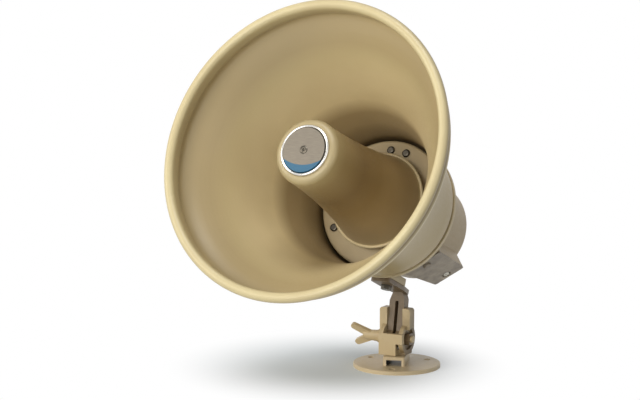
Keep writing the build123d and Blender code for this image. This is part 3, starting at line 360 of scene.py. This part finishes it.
copper_wire = bare_metal(
    "enamelled_copper_winding", "#B0653A", "#7E4426", 0.35, 0.08, 0.6 * MM, stretch=(8.0, 1.0, 1.0),
)
terminal_brass = bare_metal("brass_terminal_screw", "#C7A45A", "#A5843F", 0.32, 0.08, 2.0 * MM)
print("materials so far:", len(bpy.data.materials))

# %% [markdown]
# The badge on the nose is a thin disc of brushed aluminium with a blue band low on it. A band cut by two
# circles is a crescent, and a crescent needs no drawing: the distance from a point above the disc's
# centre, in the horn's own frame, tells where it starts. The depth is left out of that distance, so the
# band is the same on the disc's face and on its edge.

# %% Where the badge is blue
BAND_POINT = 20.0 * MM
BAND_RADIUS = 32.0 * MM
BAND_EDGE = 0.4 * MM

badge_metal, tree, output = new_material("brushed_aluminium_badge")
place, along = along_horn(tree)
split = add(tree, "ShaderNodeSeparateXYZ", {"Vector": along})
flat = add(tree, "ShaderNodeCombineXYZ", {"X": split.outputs["X"], "Y": 0.0, "Z": split.outputs["Z"]})
reach = add(tree, "ShaderNodeVectorMath", {
    0: flat.outputs["Vector"], 1: (0.0, 0.0, BAND_POINT),
}, operation="DISTANCE")
crescent = add(tree, "ShaderNodeMapRange", {
    "Value": reach.outputs["Value"], "From Min": BAND_RADIUS, "From Max": BAND_RADIUS + BAND_EDGE,
})
print("the blue starts", round((BAND_RADIUS - BAND_POINT) / MM, 1), "mm below the disc's centre")

# %% [markdown]
# Brushing leaves lines finer than a tenth of a millimetre, all one way. They are drawn about 0.4 mm
# apart, as a 6 mm noise pressed flat by 14, so that they show. The blue is paint, so the badge isn't
# metallic there.

# %% Brushed metal and blue paint
BRUSH_LENGTH = 6.0 * MM
BRUSH_PRESS = 14.0

streaks = add(tree, "ShaderNodeMapping", {"Vector": along, "Scale": (1.0, 1.0, BRUSH_PRESS)})
brushing = add(tree, "ShaderNodeTexNoise", {
    "Vector": streaks.outputs["Vector"], "Scale": 1 / BRUSH_LENGTH, "Detail": 5.0,
})
brushed = add(tree, "ShaderNodeMix", {
    "Factor": brushing.outputs["Fac"], "A": linear("#857D71"), "B": linear("#666056"),
}, data_type="RGBA")
marked = add(tree, "ShaderNodeMix", {
    "Factor": crescent.outputs["Result"], "A": brushed.outputs["Result"], "B": linear("#255A76"),
}, data_type="RGBA")
metal = add(tree, "ShaderNodeMapRange", {
    "Value": crescent.outputs["Result"], "To Min": 0.85, "To Max": 0.0,
})
rough = add(tree, "ShaderNodeMapRange", {
    "Value": brushing.outputs["Fac"], "To Min": 0.36, "To Max": 0.50, **NOISE_MIDDLE,
})
relief = add(tree, "ShaderNodeBump", {
    "Height": brushing.outputs["Fac"], "Strength": 0.12, "Distance": GRAIN_HEIGHT,
})
shader = add(tree, "ShaderNodeBsdfPrincipled", {
    "Base Color": marked.outputs["Result"], "Metallic": metal.outputs["Result"],
    "Roughness": rough.outputs["Result"], "Normal": relief.outputs["Normal"],
})
tree.links.new(shader.outputs["BSDF"], output.inputs["Surface"])
print("badge:", badge_metal.name, "with", len(tree.nodes), "nodes")

# %% [markdown]
# Rubber, phenolic, ferrite and nylon are not metals: a dark or pale body colour, a soft highlight, and
# a fine grain from the mould. They are mostly hidden, but a piece that is taken out of the model still
# has to look like what it is.

# %% Moulded pieces
def moulded(name, colour, shade, roughness, grain, bump):
    """A moulded or pressed non-metal with a fine grain."""
    material, tree, output = new_material(name)
    place = add(tree, "ShaderNodeTexCoord").outputs["Object"]
    noise = add(tree, "ShaderNodeTexNoise", {"Vector": place, "Scale": 1 / grain, "Detail": 4.0})
    tint = add(tree, "ShaderNodeMix", {
        "Factor": noise.outputs["Fac"], "A": linear(colour), "B": linear(shade),
    }, data_type="RGBA")
    relief = add(tree, "ShaderNodeBump", {
        "Height": noise.outputs["Fac"], "Strength": bump, "Distance": GRAIN_HEIGHT,
    })
    shader = add(tree, "ShaderNodeBsdfPrincipled", {
        "Base Color": tint.outputs["Result"], "Roughness": roughness, "Normal": relief.outputs["Normal"],
    })
    tree.links.new(shader.outputs["BSDF"], output.inputs["Surface"])
    return material


gasket_rubber = moulded("black_sheet_rubber", "#202020", "#2B2A28", 0.80, 1.5 * MM, 0.3)
gland_rubber = moulded("black_moulded_rubber", "#242423", "#302F2D", 0.70, 1.0 * MM, 0.2)
phenolic = moulded("moulded_phenolic", "#5A3820", "#432814", 0.45, 2.0 * MM, 0.1)
ferrite = moulded("sintered_ferrite", "#26262A", "#333338", 0.60, 1.2 * MM, 0.3)
terminal_plastic = moulded("black_moulded_nylon", "#1E1E1E", "#2A2A2A", 0.50, 1.5 * MM, 0.1)
selector_nylon = moulded("off_white_moulded_nylon", "#DDD8CA", "#CBC5B5", 0.42, 1.5 * MM, 0.1)
print("materials so far:", len(bpy.data.materials))

# %% [markdown]
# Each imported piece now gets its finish. A CAD piece is never moved or reshaped. Only its material
# changes.

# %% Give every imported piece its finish
finishes = {
    bell_enamel: ["bell"],
    bullet_enamel: ["bullet"],
    plate_enamel: ["throat_plate", "driver_frame"],
    foot_enamel: ["base"],
    bracket_enamel: ["clamp_body", "wing_bolt", "clamp_washer"],
    jaw_enamel: ["clamp_jaw"],
    # The arm and the nut in the jaw's recess take the dark enamel of painted shade.
    arm_enamel: ["arm", "clamp_nut"],
    cover_enamel: ["rear_cover"],
    # The lid and its front screw take the lid's darker enamel, painted shade.
    lid_enamel: ["terminal_cover", "lid_screw"],
    badge_metal: ["nose_badge"],
    polished_edge: ["badge_ring"],
    zinc_steel: ["driver_screws", "cover_screws"],
    dark_steel: ["arm_bolt", "nose_screw", "throat_screws"],
    cast_aluminium: ["nose_spider", "spacer_ring"],
    drawn_tube: ["tone_tube"],
    soft_iron: ["top_plate", "back_plate"],
    laminations: ["transformer_core"],
    copper_wire: ["transformer_coil"],
    terminal_brass: ["terminal_screws"],
    gasket_rubber: ["neck_gasket"],
    gland_rubber: ["cable_gland"],
    phenolic: ["phase_plug", "diaphragm"],
    ferrite: ["magnet"],
    terminal_plastic: ["terminal_strip"],
    selector_nylon: ["selector_body", "tap_selector"],
}
finish_of = {}
for material, names in finishes.items():
    for name in names:
        finish_of[name] = material
        for material_slot in bpy.data.objects[name].material_slots:
            material_slot.material = material
print("finished pieces:", len(finish_of), "of", len(frame["nodes"]))

# %% [markdown]
# Spun shells are drawn as a profile. The profile is a chain of (s, r) points in millimetres, with arcs
# and cubic curves where the sheet bends. Where two stretches meet, points can fall nearly on each
# other, and such a pair would give slivers, so one of them is left out.

# %% Draw a profile
SMALLEST_STEP = 0.25


def bezier(points, steps):
    """Points along a cubic curve."""
    a, b, c, d = [Vector(p) for p in points]
    result = []
    for step in range(steps + 1):
        t = step / steps
        result.append(a * (1 - t) ** 3 + b * 3 * t * (1 - t) ** 2 + c * 3 * t * t * (1 - t) + d * t ** 3)
    return result


def arc(centre, radius, start, turn, steps):
    """Points along an arc, angles in degrees."""
    angles = [math.radians(start + turn * step / steps) for step in range(steps + 1)]
    return [Vector((centre[0] + radius * math.cos(a), centre[1] + radius * math.sin(a))) for a in angles]


def spaced(points):
    """The same chain without points that nearly fall on the one before."""
    kept = [points[0]]
    for point in points[1:]:
        if (point - kept[-1]).length > SMALLEST_STEP:
            kept.append(point)
    return kept


def both_sides(line, half_wall):
    """Outline of a sheet round its middle line: out along one side and back along the other."""
    outer, inner = [], []
    for index, point in enumerate(line):
        before = line[max(index - 1, 0)]
        after = line[min(index + 1, len(line) - 1)]
        tangent = (after - before).normalized()
        square = Vector((tangent.y, -tangent.x))
        outer.append(point + square * half_wall)
        inner.append(point - square * half_wall)
    return outer + inner[::-1]


# %% [markdown]
# On a lathe the bell is a flat disc pressed over a turning former, so it is round about its axis. In
# Blender the same thing is a profile spun about an axis. A full spin ends where it began, so that seam
# is merged, and the normals are worked out again, because a spin can leave them facing in. An edge
# sharper than 40 degrees stays crisp, and all others are shaded smooth.

# %% Spin it about the horn's axis
SPIN_STEPS = 192
SEAM = 0.02 * MM
CRISP_EDGE = math.radians(40)


def spun(name, profile, segments=SPIN_STEPS, closed=True):
    """A profile spun about the horn's axis into one mesh object. An open one ends on the axis."""
    bm = bmesh.new()
    verts = [bm.verts.new((r * MM, s * MM, 0.0)) for s, r in profile]
    edges = [bm.edges.new(pair) for pair in zip(verts, verts[1:])]
    if closed:
        edges.append(bm.edges.new((verts[-1], verts[0])))
    bmesh.ops.spin(
        bm, geom=verts + edges, cent=(0, 0, 0), axis=(0, 1, 0), dvec=(0, 0, 0),
        angle=math.tau, steps=segments, use_merge=True, use_duplicate=False,
    )
    bmesh.ops.remove_doubles(bm, verts=bm.verts, dist=SEAM)
    bmesh.ops.recalc_face_normals(bm, faces=bm.faces)
    bmesh.ops.transform(bm, matrix=HORN_FRAME, verts=bm.verts)
    mesh = bpy.data.meshes.new(name)
    bm.to_mesh(mesh)
    bm.free()
    piece = bpy.data.objects.new(name, mesh)
    bpy.context.scene.collection.objects.link(piece)
    for polygon in mesh.polygons:
        polygon.use_smooth = True
    mesh.set_sharp_from_angle(angle=CRISP_EDGE)
    return piece


# %% [markdown]
# The bell's sheet is 1.6 mm thick. Its middle line is a smooth flare from the neck to a stiffening
# ridge, a shallow valley, and a curl that turns the cut edge back on itself so that nobody is cut and
# the mouth stays round. Half the sheet to each side of that line gives the two faces.

# %% The bell's middle line
HALF_SHEET = 0.8
FLANGE_PLACE = 162.0
FLANGE_EDGE = 41.0
NECK_RADIUS = 59.7
NECK_START = 150.0
NECK_BEND = 3.0
FLARE_END = (27.0, 105.2)
RIDGE = (13.0, 116.9)
VALLEY = (6.5, 115.2)
CURL_MIDDLE = (0.0, 118.0)
CURL_RADIUS = 3.2
CURL_TURN = 250


def line_of_bell():
    """Middle line of the bell's sheet from the neck's flange to the end of the curl."""
    bend_radius = NECK_RADIUS - NECK_BEND
    neck = [Vector((FLANGE_PLACE, FLANGE_EDGE)), Vector((FLANGE_PLACE, bend_radius))]
    bend = arc((FLANGE_PLACE - NECK_BEND, bend_radius), NECK_BEND, 0, 90, 6)[1:]
    flare = bezier([(NECK_START, NECK_RADIUS), (105.0, NECK_RADIUS), (61.0, 74.5), FLARE_END], 48)
    slope = (flare[-1] - flare[-2]).normalized()
    ridge = bezier([flare[-1], flare[-1] + slope * 8.0, (18.0, 116.7), RIDGE], 14)[1:]
    valley = bezier([RIDGE, (10.4, 116.9), (8.8, 115.3), VALLEY], 8)[1:]
    level_end = (CURL_MIDDLE[0], CURL_MIDDLE[1] - CURL_RADIUS)
    level = bezier([VALLEY, (4.0, 115.1), (2.5, 114.8), level_end], 5)[1:]
    curl = arc(CURL_MIDDLE, CURL_RADIUS, -90, -CURL_TURN, 28)[1:]
    return spaced(neck + bend + flare + ridge + valley + level + curl)


print("points on the bell's line:", len(line_of_bell()))

# %% [markdown]
# The spun bell then gets its two enamels. A face that looks away from the axis is outside, and takes the
# outer colours, with their painted light and shade. All others take the inner ones.

# %% Bell
INSIDE, OUTSIDE = 0, 1

bell_piece = spun("bell_shell", both_sides(line_of_bell(), HALF_SHEET))
bell_piece.data.materials.append(bell_enamel)
bell_piece.data.materials.append(outer_enamel)
for polygon in bell_piece.data.polygons:
    place = TO_HORN @ polygon.center
    facing = TO_HORN.to_3x3() @ polygon.normal
    from_axis = Vector((place.x, 0.0, place.z))
    polygon.material_index = OUTSIDE if facing.dot(from_axis) > 0 else INSIDE
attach(bell_piece, "horn")
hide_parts("bell")
print("bell faces:", len(bell_piece.data.polygons))

# %% [markdown]
# The bullet sends the sound back into the bell. It is spun too: a flat nose, a soft shoulder, a long
# tube that swells to its rear rim. The rim is rolled over into a small bead, coloured as a bright line of
# painted highlight.

# %% Bullet
NOSE = 7.5
NOSE_HOLE = 2.2
NOSE_WALL = 2.4
FACE_RADIUS = 21.4
TUBE_RADIUS = 26.7
TUBE_WALL = 1.6
TUBE_STRAIGHT = 55.0
SHOULDER = TUBE_RADIUS - FACE_RADIUS

nose = [Vector((NOSE, NOSE_HOLE)), Vector((NOSE, FACE_RADIUS))]
shoulder = arc((NOSE + SHOULDER, FACE_RADIUS), SHOULDER, 180, -90, 10)[1:]
tube = bezier([
    (NOSE + SHOULDER, TUBE_RADIUS), (TUBE_STRAIGHT, TUBE_RADIUS), (112.8, 33.3), (138.6, 40.0),
], 40)[1:]
rolled_rim = arc((139.6, 40.9), 1.2, 190, -215, 10)
bore = TUBE_RADIUS - TUBE_WALL
hollow = bezier([(140.8, 39.2), (112.8, 31.7), (TUBE_STRAIGHT, bore), (13.6, bore)], 30)[1:]
inner_nose = [Vector((NOSE + NOSE_WALL, FACE_RADIUS)), Vector((NOSE + NOSE_WALL, NOSE_HOLE))]
bullet_piece = spun("bullet_shell", spaced(nose + shoulder + tube + rolled_rim + hollow + inner_nose))
bullet_piece.data.materials.append(bullet_enamel)
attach(bullet_piece, "horn")
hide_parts("bullet")
print("bullet faces:", len(bullet_piece.data.polygons))

# %% [markdown]
# The nose ends in a badge disc, framed by a polished ring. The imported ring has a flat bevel, and a
# mirror that is flat shows one hard patch of light. A half round bead carries the light round it, thin
# on one side and full on the other.

# %% Ring on the nose
BEAD_MIDDLE = 19.6
BEAD_HALF_WIDTH = 1.5
BEAD_HEIGHT = 2.0
BEAD_STEPS = 12

bead = []
for step in range(BEAD_STEPS + 1):
    angle = math.pi * step / BEAD_STEPS
    height = BEAD_HEIGHT * math.sin(angle)
    across = BEAD_HALF_WIDTH * math.cos(angle)
    bead.append(Vector((NOSE - height, BEAD_MIDDLE + across)))
ring_piece = spun("badge_bead", bead, segments=128)
ring_piece.data.materials.append(polished_edge)
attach(ring_piece, "horn")
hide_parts("badge_ring")
print("ring faces:", len(ring_piece.data.polygons))

# %% [markdown]
# One screw through the nose holds the badge and draws the bullet onto the spider behind it. It has an
# oval head with a small recess, so that it shows a dark dot with a fleck of light beside it. Its profile
# starts and ends on the axis, so it isn't closed before the spin.

# %% Screw in the nose
SCREW_END = 34.0
SHANK_RADIUS = 1.9

recess = [Vector((5.6, 0.0)), Vector((5.5, 0.6)), Vector((4.7, 1.0))]
dome = bezier([(4.7, 1.0), (4.5, 1.2), (4.5, 2.6), (5.1, 3.2)], 8)[1:]
shank = [Vector((6.4, SHANK_RADIUS)), Vector((SCREW_END, SHANK_RADIUS)), Vector((SCREW_END, 0.0))]
screw_piece = spun("nose_screw_oval", recess + dome + shank, segments=48, closed=False)
screw_piece.data.materials.append(dark_steel)
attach(screw_piece, "horn")
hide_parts("nose_screw")
print("screw faces:", len(screw_piece.data.polygons))

# %% [markdown]
# Cast and pressed pieces have no truly sharp edge: the mould's corners are rounded and paint builds up
# on them, and that thin bright line is what tells the eye it is solid metal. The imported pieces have
# exact edges, so each of these is copied, its loose triangles are joined into flat faces, and its
# edges get a small bevel. The bevel is a modifier, because it copes with the crowded corners of a
# casting and stops where two edges come too close.

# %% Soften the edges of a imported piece
BEVELLED_EDGE = math.radians(32.0)
BEVEL_SEGMENTS = 2
SAME_PLACE = 0.01 * MM
SAME_PLANE = math.radians(1.0)

body_of_node = {
    node: body for body, nodes in frame["record"]["behaviour"]["bodies"].items() for node in nodes
}


def softened(node, width):
    """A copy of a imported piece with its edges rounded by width, in millimetres."""
    bm = bmesh.new()
    bm.from_mesh(bpy.data.objects[node].data)
    bmesh.ops.remove_doubles(bm, verts=bm.verts, dist=SAME_PLACE)
    bmesh.ops.dissolve_limit(
        bm, angle_limit=SAME_PLANE, use_dissolve_boundaries=False, verts=bm.verts, edges=bm.edges,
    )
    mesh = bpy.data.meshes.new(node + "_soft")
    bm.to_mesh(mesh)
    bm.free()
    mesh.materials.clear()
    mesh.materials.append(finish_of[node])
    piece = bpy.data.objects.new(node + "_soft", mesh)
    bpy.context.scene.collection.objects.link(piece)
    for polygon in mesh.polygons:
        polygon.use_smooth = True
    mesh.set_sharp_from_angle(angle=BEVELLED_EDGE)
    bevel = piece.modifiers.new("rounded edges", "BEVEL")
    bevel.width = width * MM
    bevel.segments = BEVEL_SEGMENTS
    bevel.limit_method = "ANGLE"
    bevel.angle_limit = BEVELLED_EDGE
    bevel.use_clamp_overlap = True
    bevel.harden_normals = True
    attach(piece, body_of_node[node])
    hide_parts(node)
    return piece


soft_pieces = [
    softened("throat_plate", 0.4),
    softened("driver_frame", 0.5),
    softened("rear_cover", 0.7),
    softened("terminal_cover", 0.35),
    softened("arm", 0.7),
    softened("clamp_body", 0.6),
    softened("clamp_jaw", 0.6),
    softened("base", 0.5),
    softened("wing_bolt", 0.5),
]
print("softened:", [piece.name for piece in soft_pieces])

# %% [markdown]
# The foot is cast with a slot through it for a steel band. The slot's roof and walls are near-black and
# dull: painted shade for the dark inside of the slot. They are picked by where they are and which way
# they face, in the foot's own direction, and get a second material. The slot runs along the foot's Y, so
# its own faces are those that look neither along Y nor up.

# %% Painted shade in the slot through the foot's block
FOOT_TURN = math.radians(18.0)
SLOT_HALF_WIDTH = 7.0 * MM
SLOT_FLOOR = 3.5 * MM
SLOT_ROOF = 8.9 * MM
MOSTLY = 0.5

# A near-black, dull material for the slot's roof and walls: painted shade.
painted_slot_shade = moulded("painted_shade_in_slot", "#1E1916", "#120E0C", 0.85, 2.0 * MM, 0.2)
foot = bpy.data.objects["base_soft"]
foot.data.materials.append(painted_slot_shade)
unturn = Matrix.Rotation(-FOOT_TURN, 3, "Z")
for polygon in foot.data.polygons:
    place = unturn @ polygon.center
    facing = unturn @ polygon.normal
    in_slot = abs(place.x) < SLOT_HALF_WIDTH and SLOT_FLOOR < place.z < SLOT_ROOF
    if in_slot and abs(facing.y) < MOSTLY and facing.z < MOSTLY:
        polygon.material_index = 1
print("bare faces in the slot:", sum(polygon.material_index for polygon in foot.data.polygons))

# %% [markdown]
# A white background has to be white to the camera without lighting the horn. A Light Path node tells
# what kind of ray meets a surface. Rays from the camera see the background, and so do those that come
# by way of a mirror or glass. All the others, which carry light, see the paper or the room as it is.

# %% What the camera sees
def seen(tree):
    """1 for a ray from the camera, direct or by way of a mirror or glass, and 0 for any other."""
    rays = add(tree, "ShaderNodeLightPath")
    gloss_or_glass = add(tree, "ShaderNodeMath", {
        0: rays.outputs["Is Glossy Ray"], 1: rays.outputs["Is Transmission Ray"],
    }, operation="MAXIMUM")
    any_seen = add(tree, "ShaderNodeMath", {
        0: rays.outputs["Is Camera Ray"], 1: gloss_or_glass.outputs["Value"],
    }, operation="MAXIMUM")
    return any_seen.outputs["Value"]


# %% [markdown]
# The floor. The horn stands on white paper with one soft shadow below the bell. Paper under a lamp is
# never quite white to a camera far from the lamp, and its edge would show as a horizon. So the camera
# sees the paper as it is lit only near the horn, and further out it fades to plain white. The fade reads
# the paper's own coordinates, in metres, and a faint cool glow keeps the middle of the shadow from going
# black.

# %% Floor
FLOOR_REACH = 6.0
FADE_CENTRE = (-0.048, -0.02, 0.0)
FADE_START = 0.035
FADE_END = 0.155
WHITE = (1.0, 1.0, 1.0, 1.0)

bm = bmesh.new()
bmesh.ops.create_grid(bm, x_segments=1, y_segments=1, size=FLOOR_REACH)
floor_mesh = bpy.data.meshes.new("floor")
bm.to_mesh(floor_mesh)
bm.free()
floor = bpy.data.objects.new("floor", floor_mesh)
bpy.context.scene.collection.objects.link(floor)

floor_material, tree, output = new_material("white_paper")
place = add(tree, "ShaderNodeTexCoord").outputs["Object"]
reach = add(tree, "ShaderNodeVectorMath", {0: place, 1: FADE_CENTRE}, operation="DISTANCE")
fade = add(tree, "ShaderNodeMapRange", {
    "Value": reach.outputs["Value"], "From Min": FADE_START, "From Max": FADE_END,
}, interpolation_type="SMOOTHSTEP")
paper = add(tree, "ShaderNodeBsdfDiffuse", {"Color": linear("#EEF3F5")})
glow = add(tree, "ShaderNodeEmission", {"Color": linear("#C8E4F4"), "Strength": 0.03})
near = add(tree, "ShaderNodeAddShader", {0: glow.outputs["Emission"], 1: paper.outputs["BSDF"]})
plain = add(tree, "ShaderNodeEmission", {"Color": WHITE, "Strength": 1.0})
shown = add(tree, "ShaderNodeMixShader", {
    "Fac": fade.outputs["Result"], 1: near.outputs["Shader"], 2: plain.outputs["Emission"],
})
mixed = add(tree, "ShaderNodeMixShader", {
    "Fac": seen(tree), 1: paper.outputs["BSDF"], 2: shown.outputs["Shader"],
})
tree.links.new(mixed.outputs["Shader"], output.inputs["Surface"])
floor_mesh.materials.append(floor_material)
print("floor fades to white between", FADE_START, "and", FADE_END, "m")

# %% [markdown]
# The light. A bell is a bowl, and a bowl is evenly lit only from straight in front, so the large soft key
# lamp stands where the horn points, well to the left of the camera. That also leaves the bullet's near
# flank and the right side of the bell dark, which is what makes them read as round. A smaller lamp at
# the far left reaches under the bell to the bracket. A soft lamp overhead makes the floor's shadow, and
# a weak one at the right opens the back of the horn.

# %% Lamps
LAMP_TARGET = (0.0, -0.08, 0.17)
WARM = "#FFFBF4"
PLAIN = "#FFFFFF"
COOL = "#F6F8FF"


def lamp(name, place, size, watts, colour):
    """A square area lamp that looks at the middle of the horn."""
    data = bpy.data.lights.new(name, "AREA")
    data.size = size
    data.energy = watts
    data.color = linear(colour)[:3]
    item = bpy.data.objects.new(name, data)
    item.location = place
    item.rotation_euler = (Vector(LAMP_TARGET) - Vector(place)).to_track_quat("-Z", "Y").to_euler()
    bpy.context.scene.collection.objects.link(item)


lamp("key", (-0.17, -2.00, 0.47), 1.2, 25.0, WARM)
lamp("left", (-1.42, -1.24, 0.80), 0.7, 10.0, WARM)
lamp("top", (0.10, -0.55, 1.55), 0.8, 11.0, PLAIN)
lamp("fill", (1.6, -0.9, 0.5), 1.2, 3.0, COOL)

# %% [markdown]
# The room is a dim, even white that fills the shadows, and to the camera it is plain white. Together
# with the lamps it lights a surface that faces the key at about 1, so a colour renders as written. The
# Standard view transform shows that colour unchanged.

# %% Room
ROOM_LEVEL = 0.22

world = bpy.data.worlds.new("pale room")
bpy.context.scene.world = world
world.use_nodes = True
tree = world.node_tree
tree.nodes.clear()
room = add(tree, "ShaderNodeBackground", {"Color": linear("#F1F5FA"), "Strength": ROOM_LEVEL})
white = add(tree, "ShaderNodeBackground", {"Color": WHITE, "Strength": 1.0})
choice = add(tree, "ShaderNodeMixShader", {
    "Fac": seen(tree), 1: room.outputs["Background"], 2: white.outputs["Background"],
})
add(tree, "ShaderNodeOutputWorld", {"Surface": choice.outputs["Shader"]})
bpy.context.scene.view_settings.view_transform = "Standard"
print("room:", world.name, "at", ROOM_LEVEL)
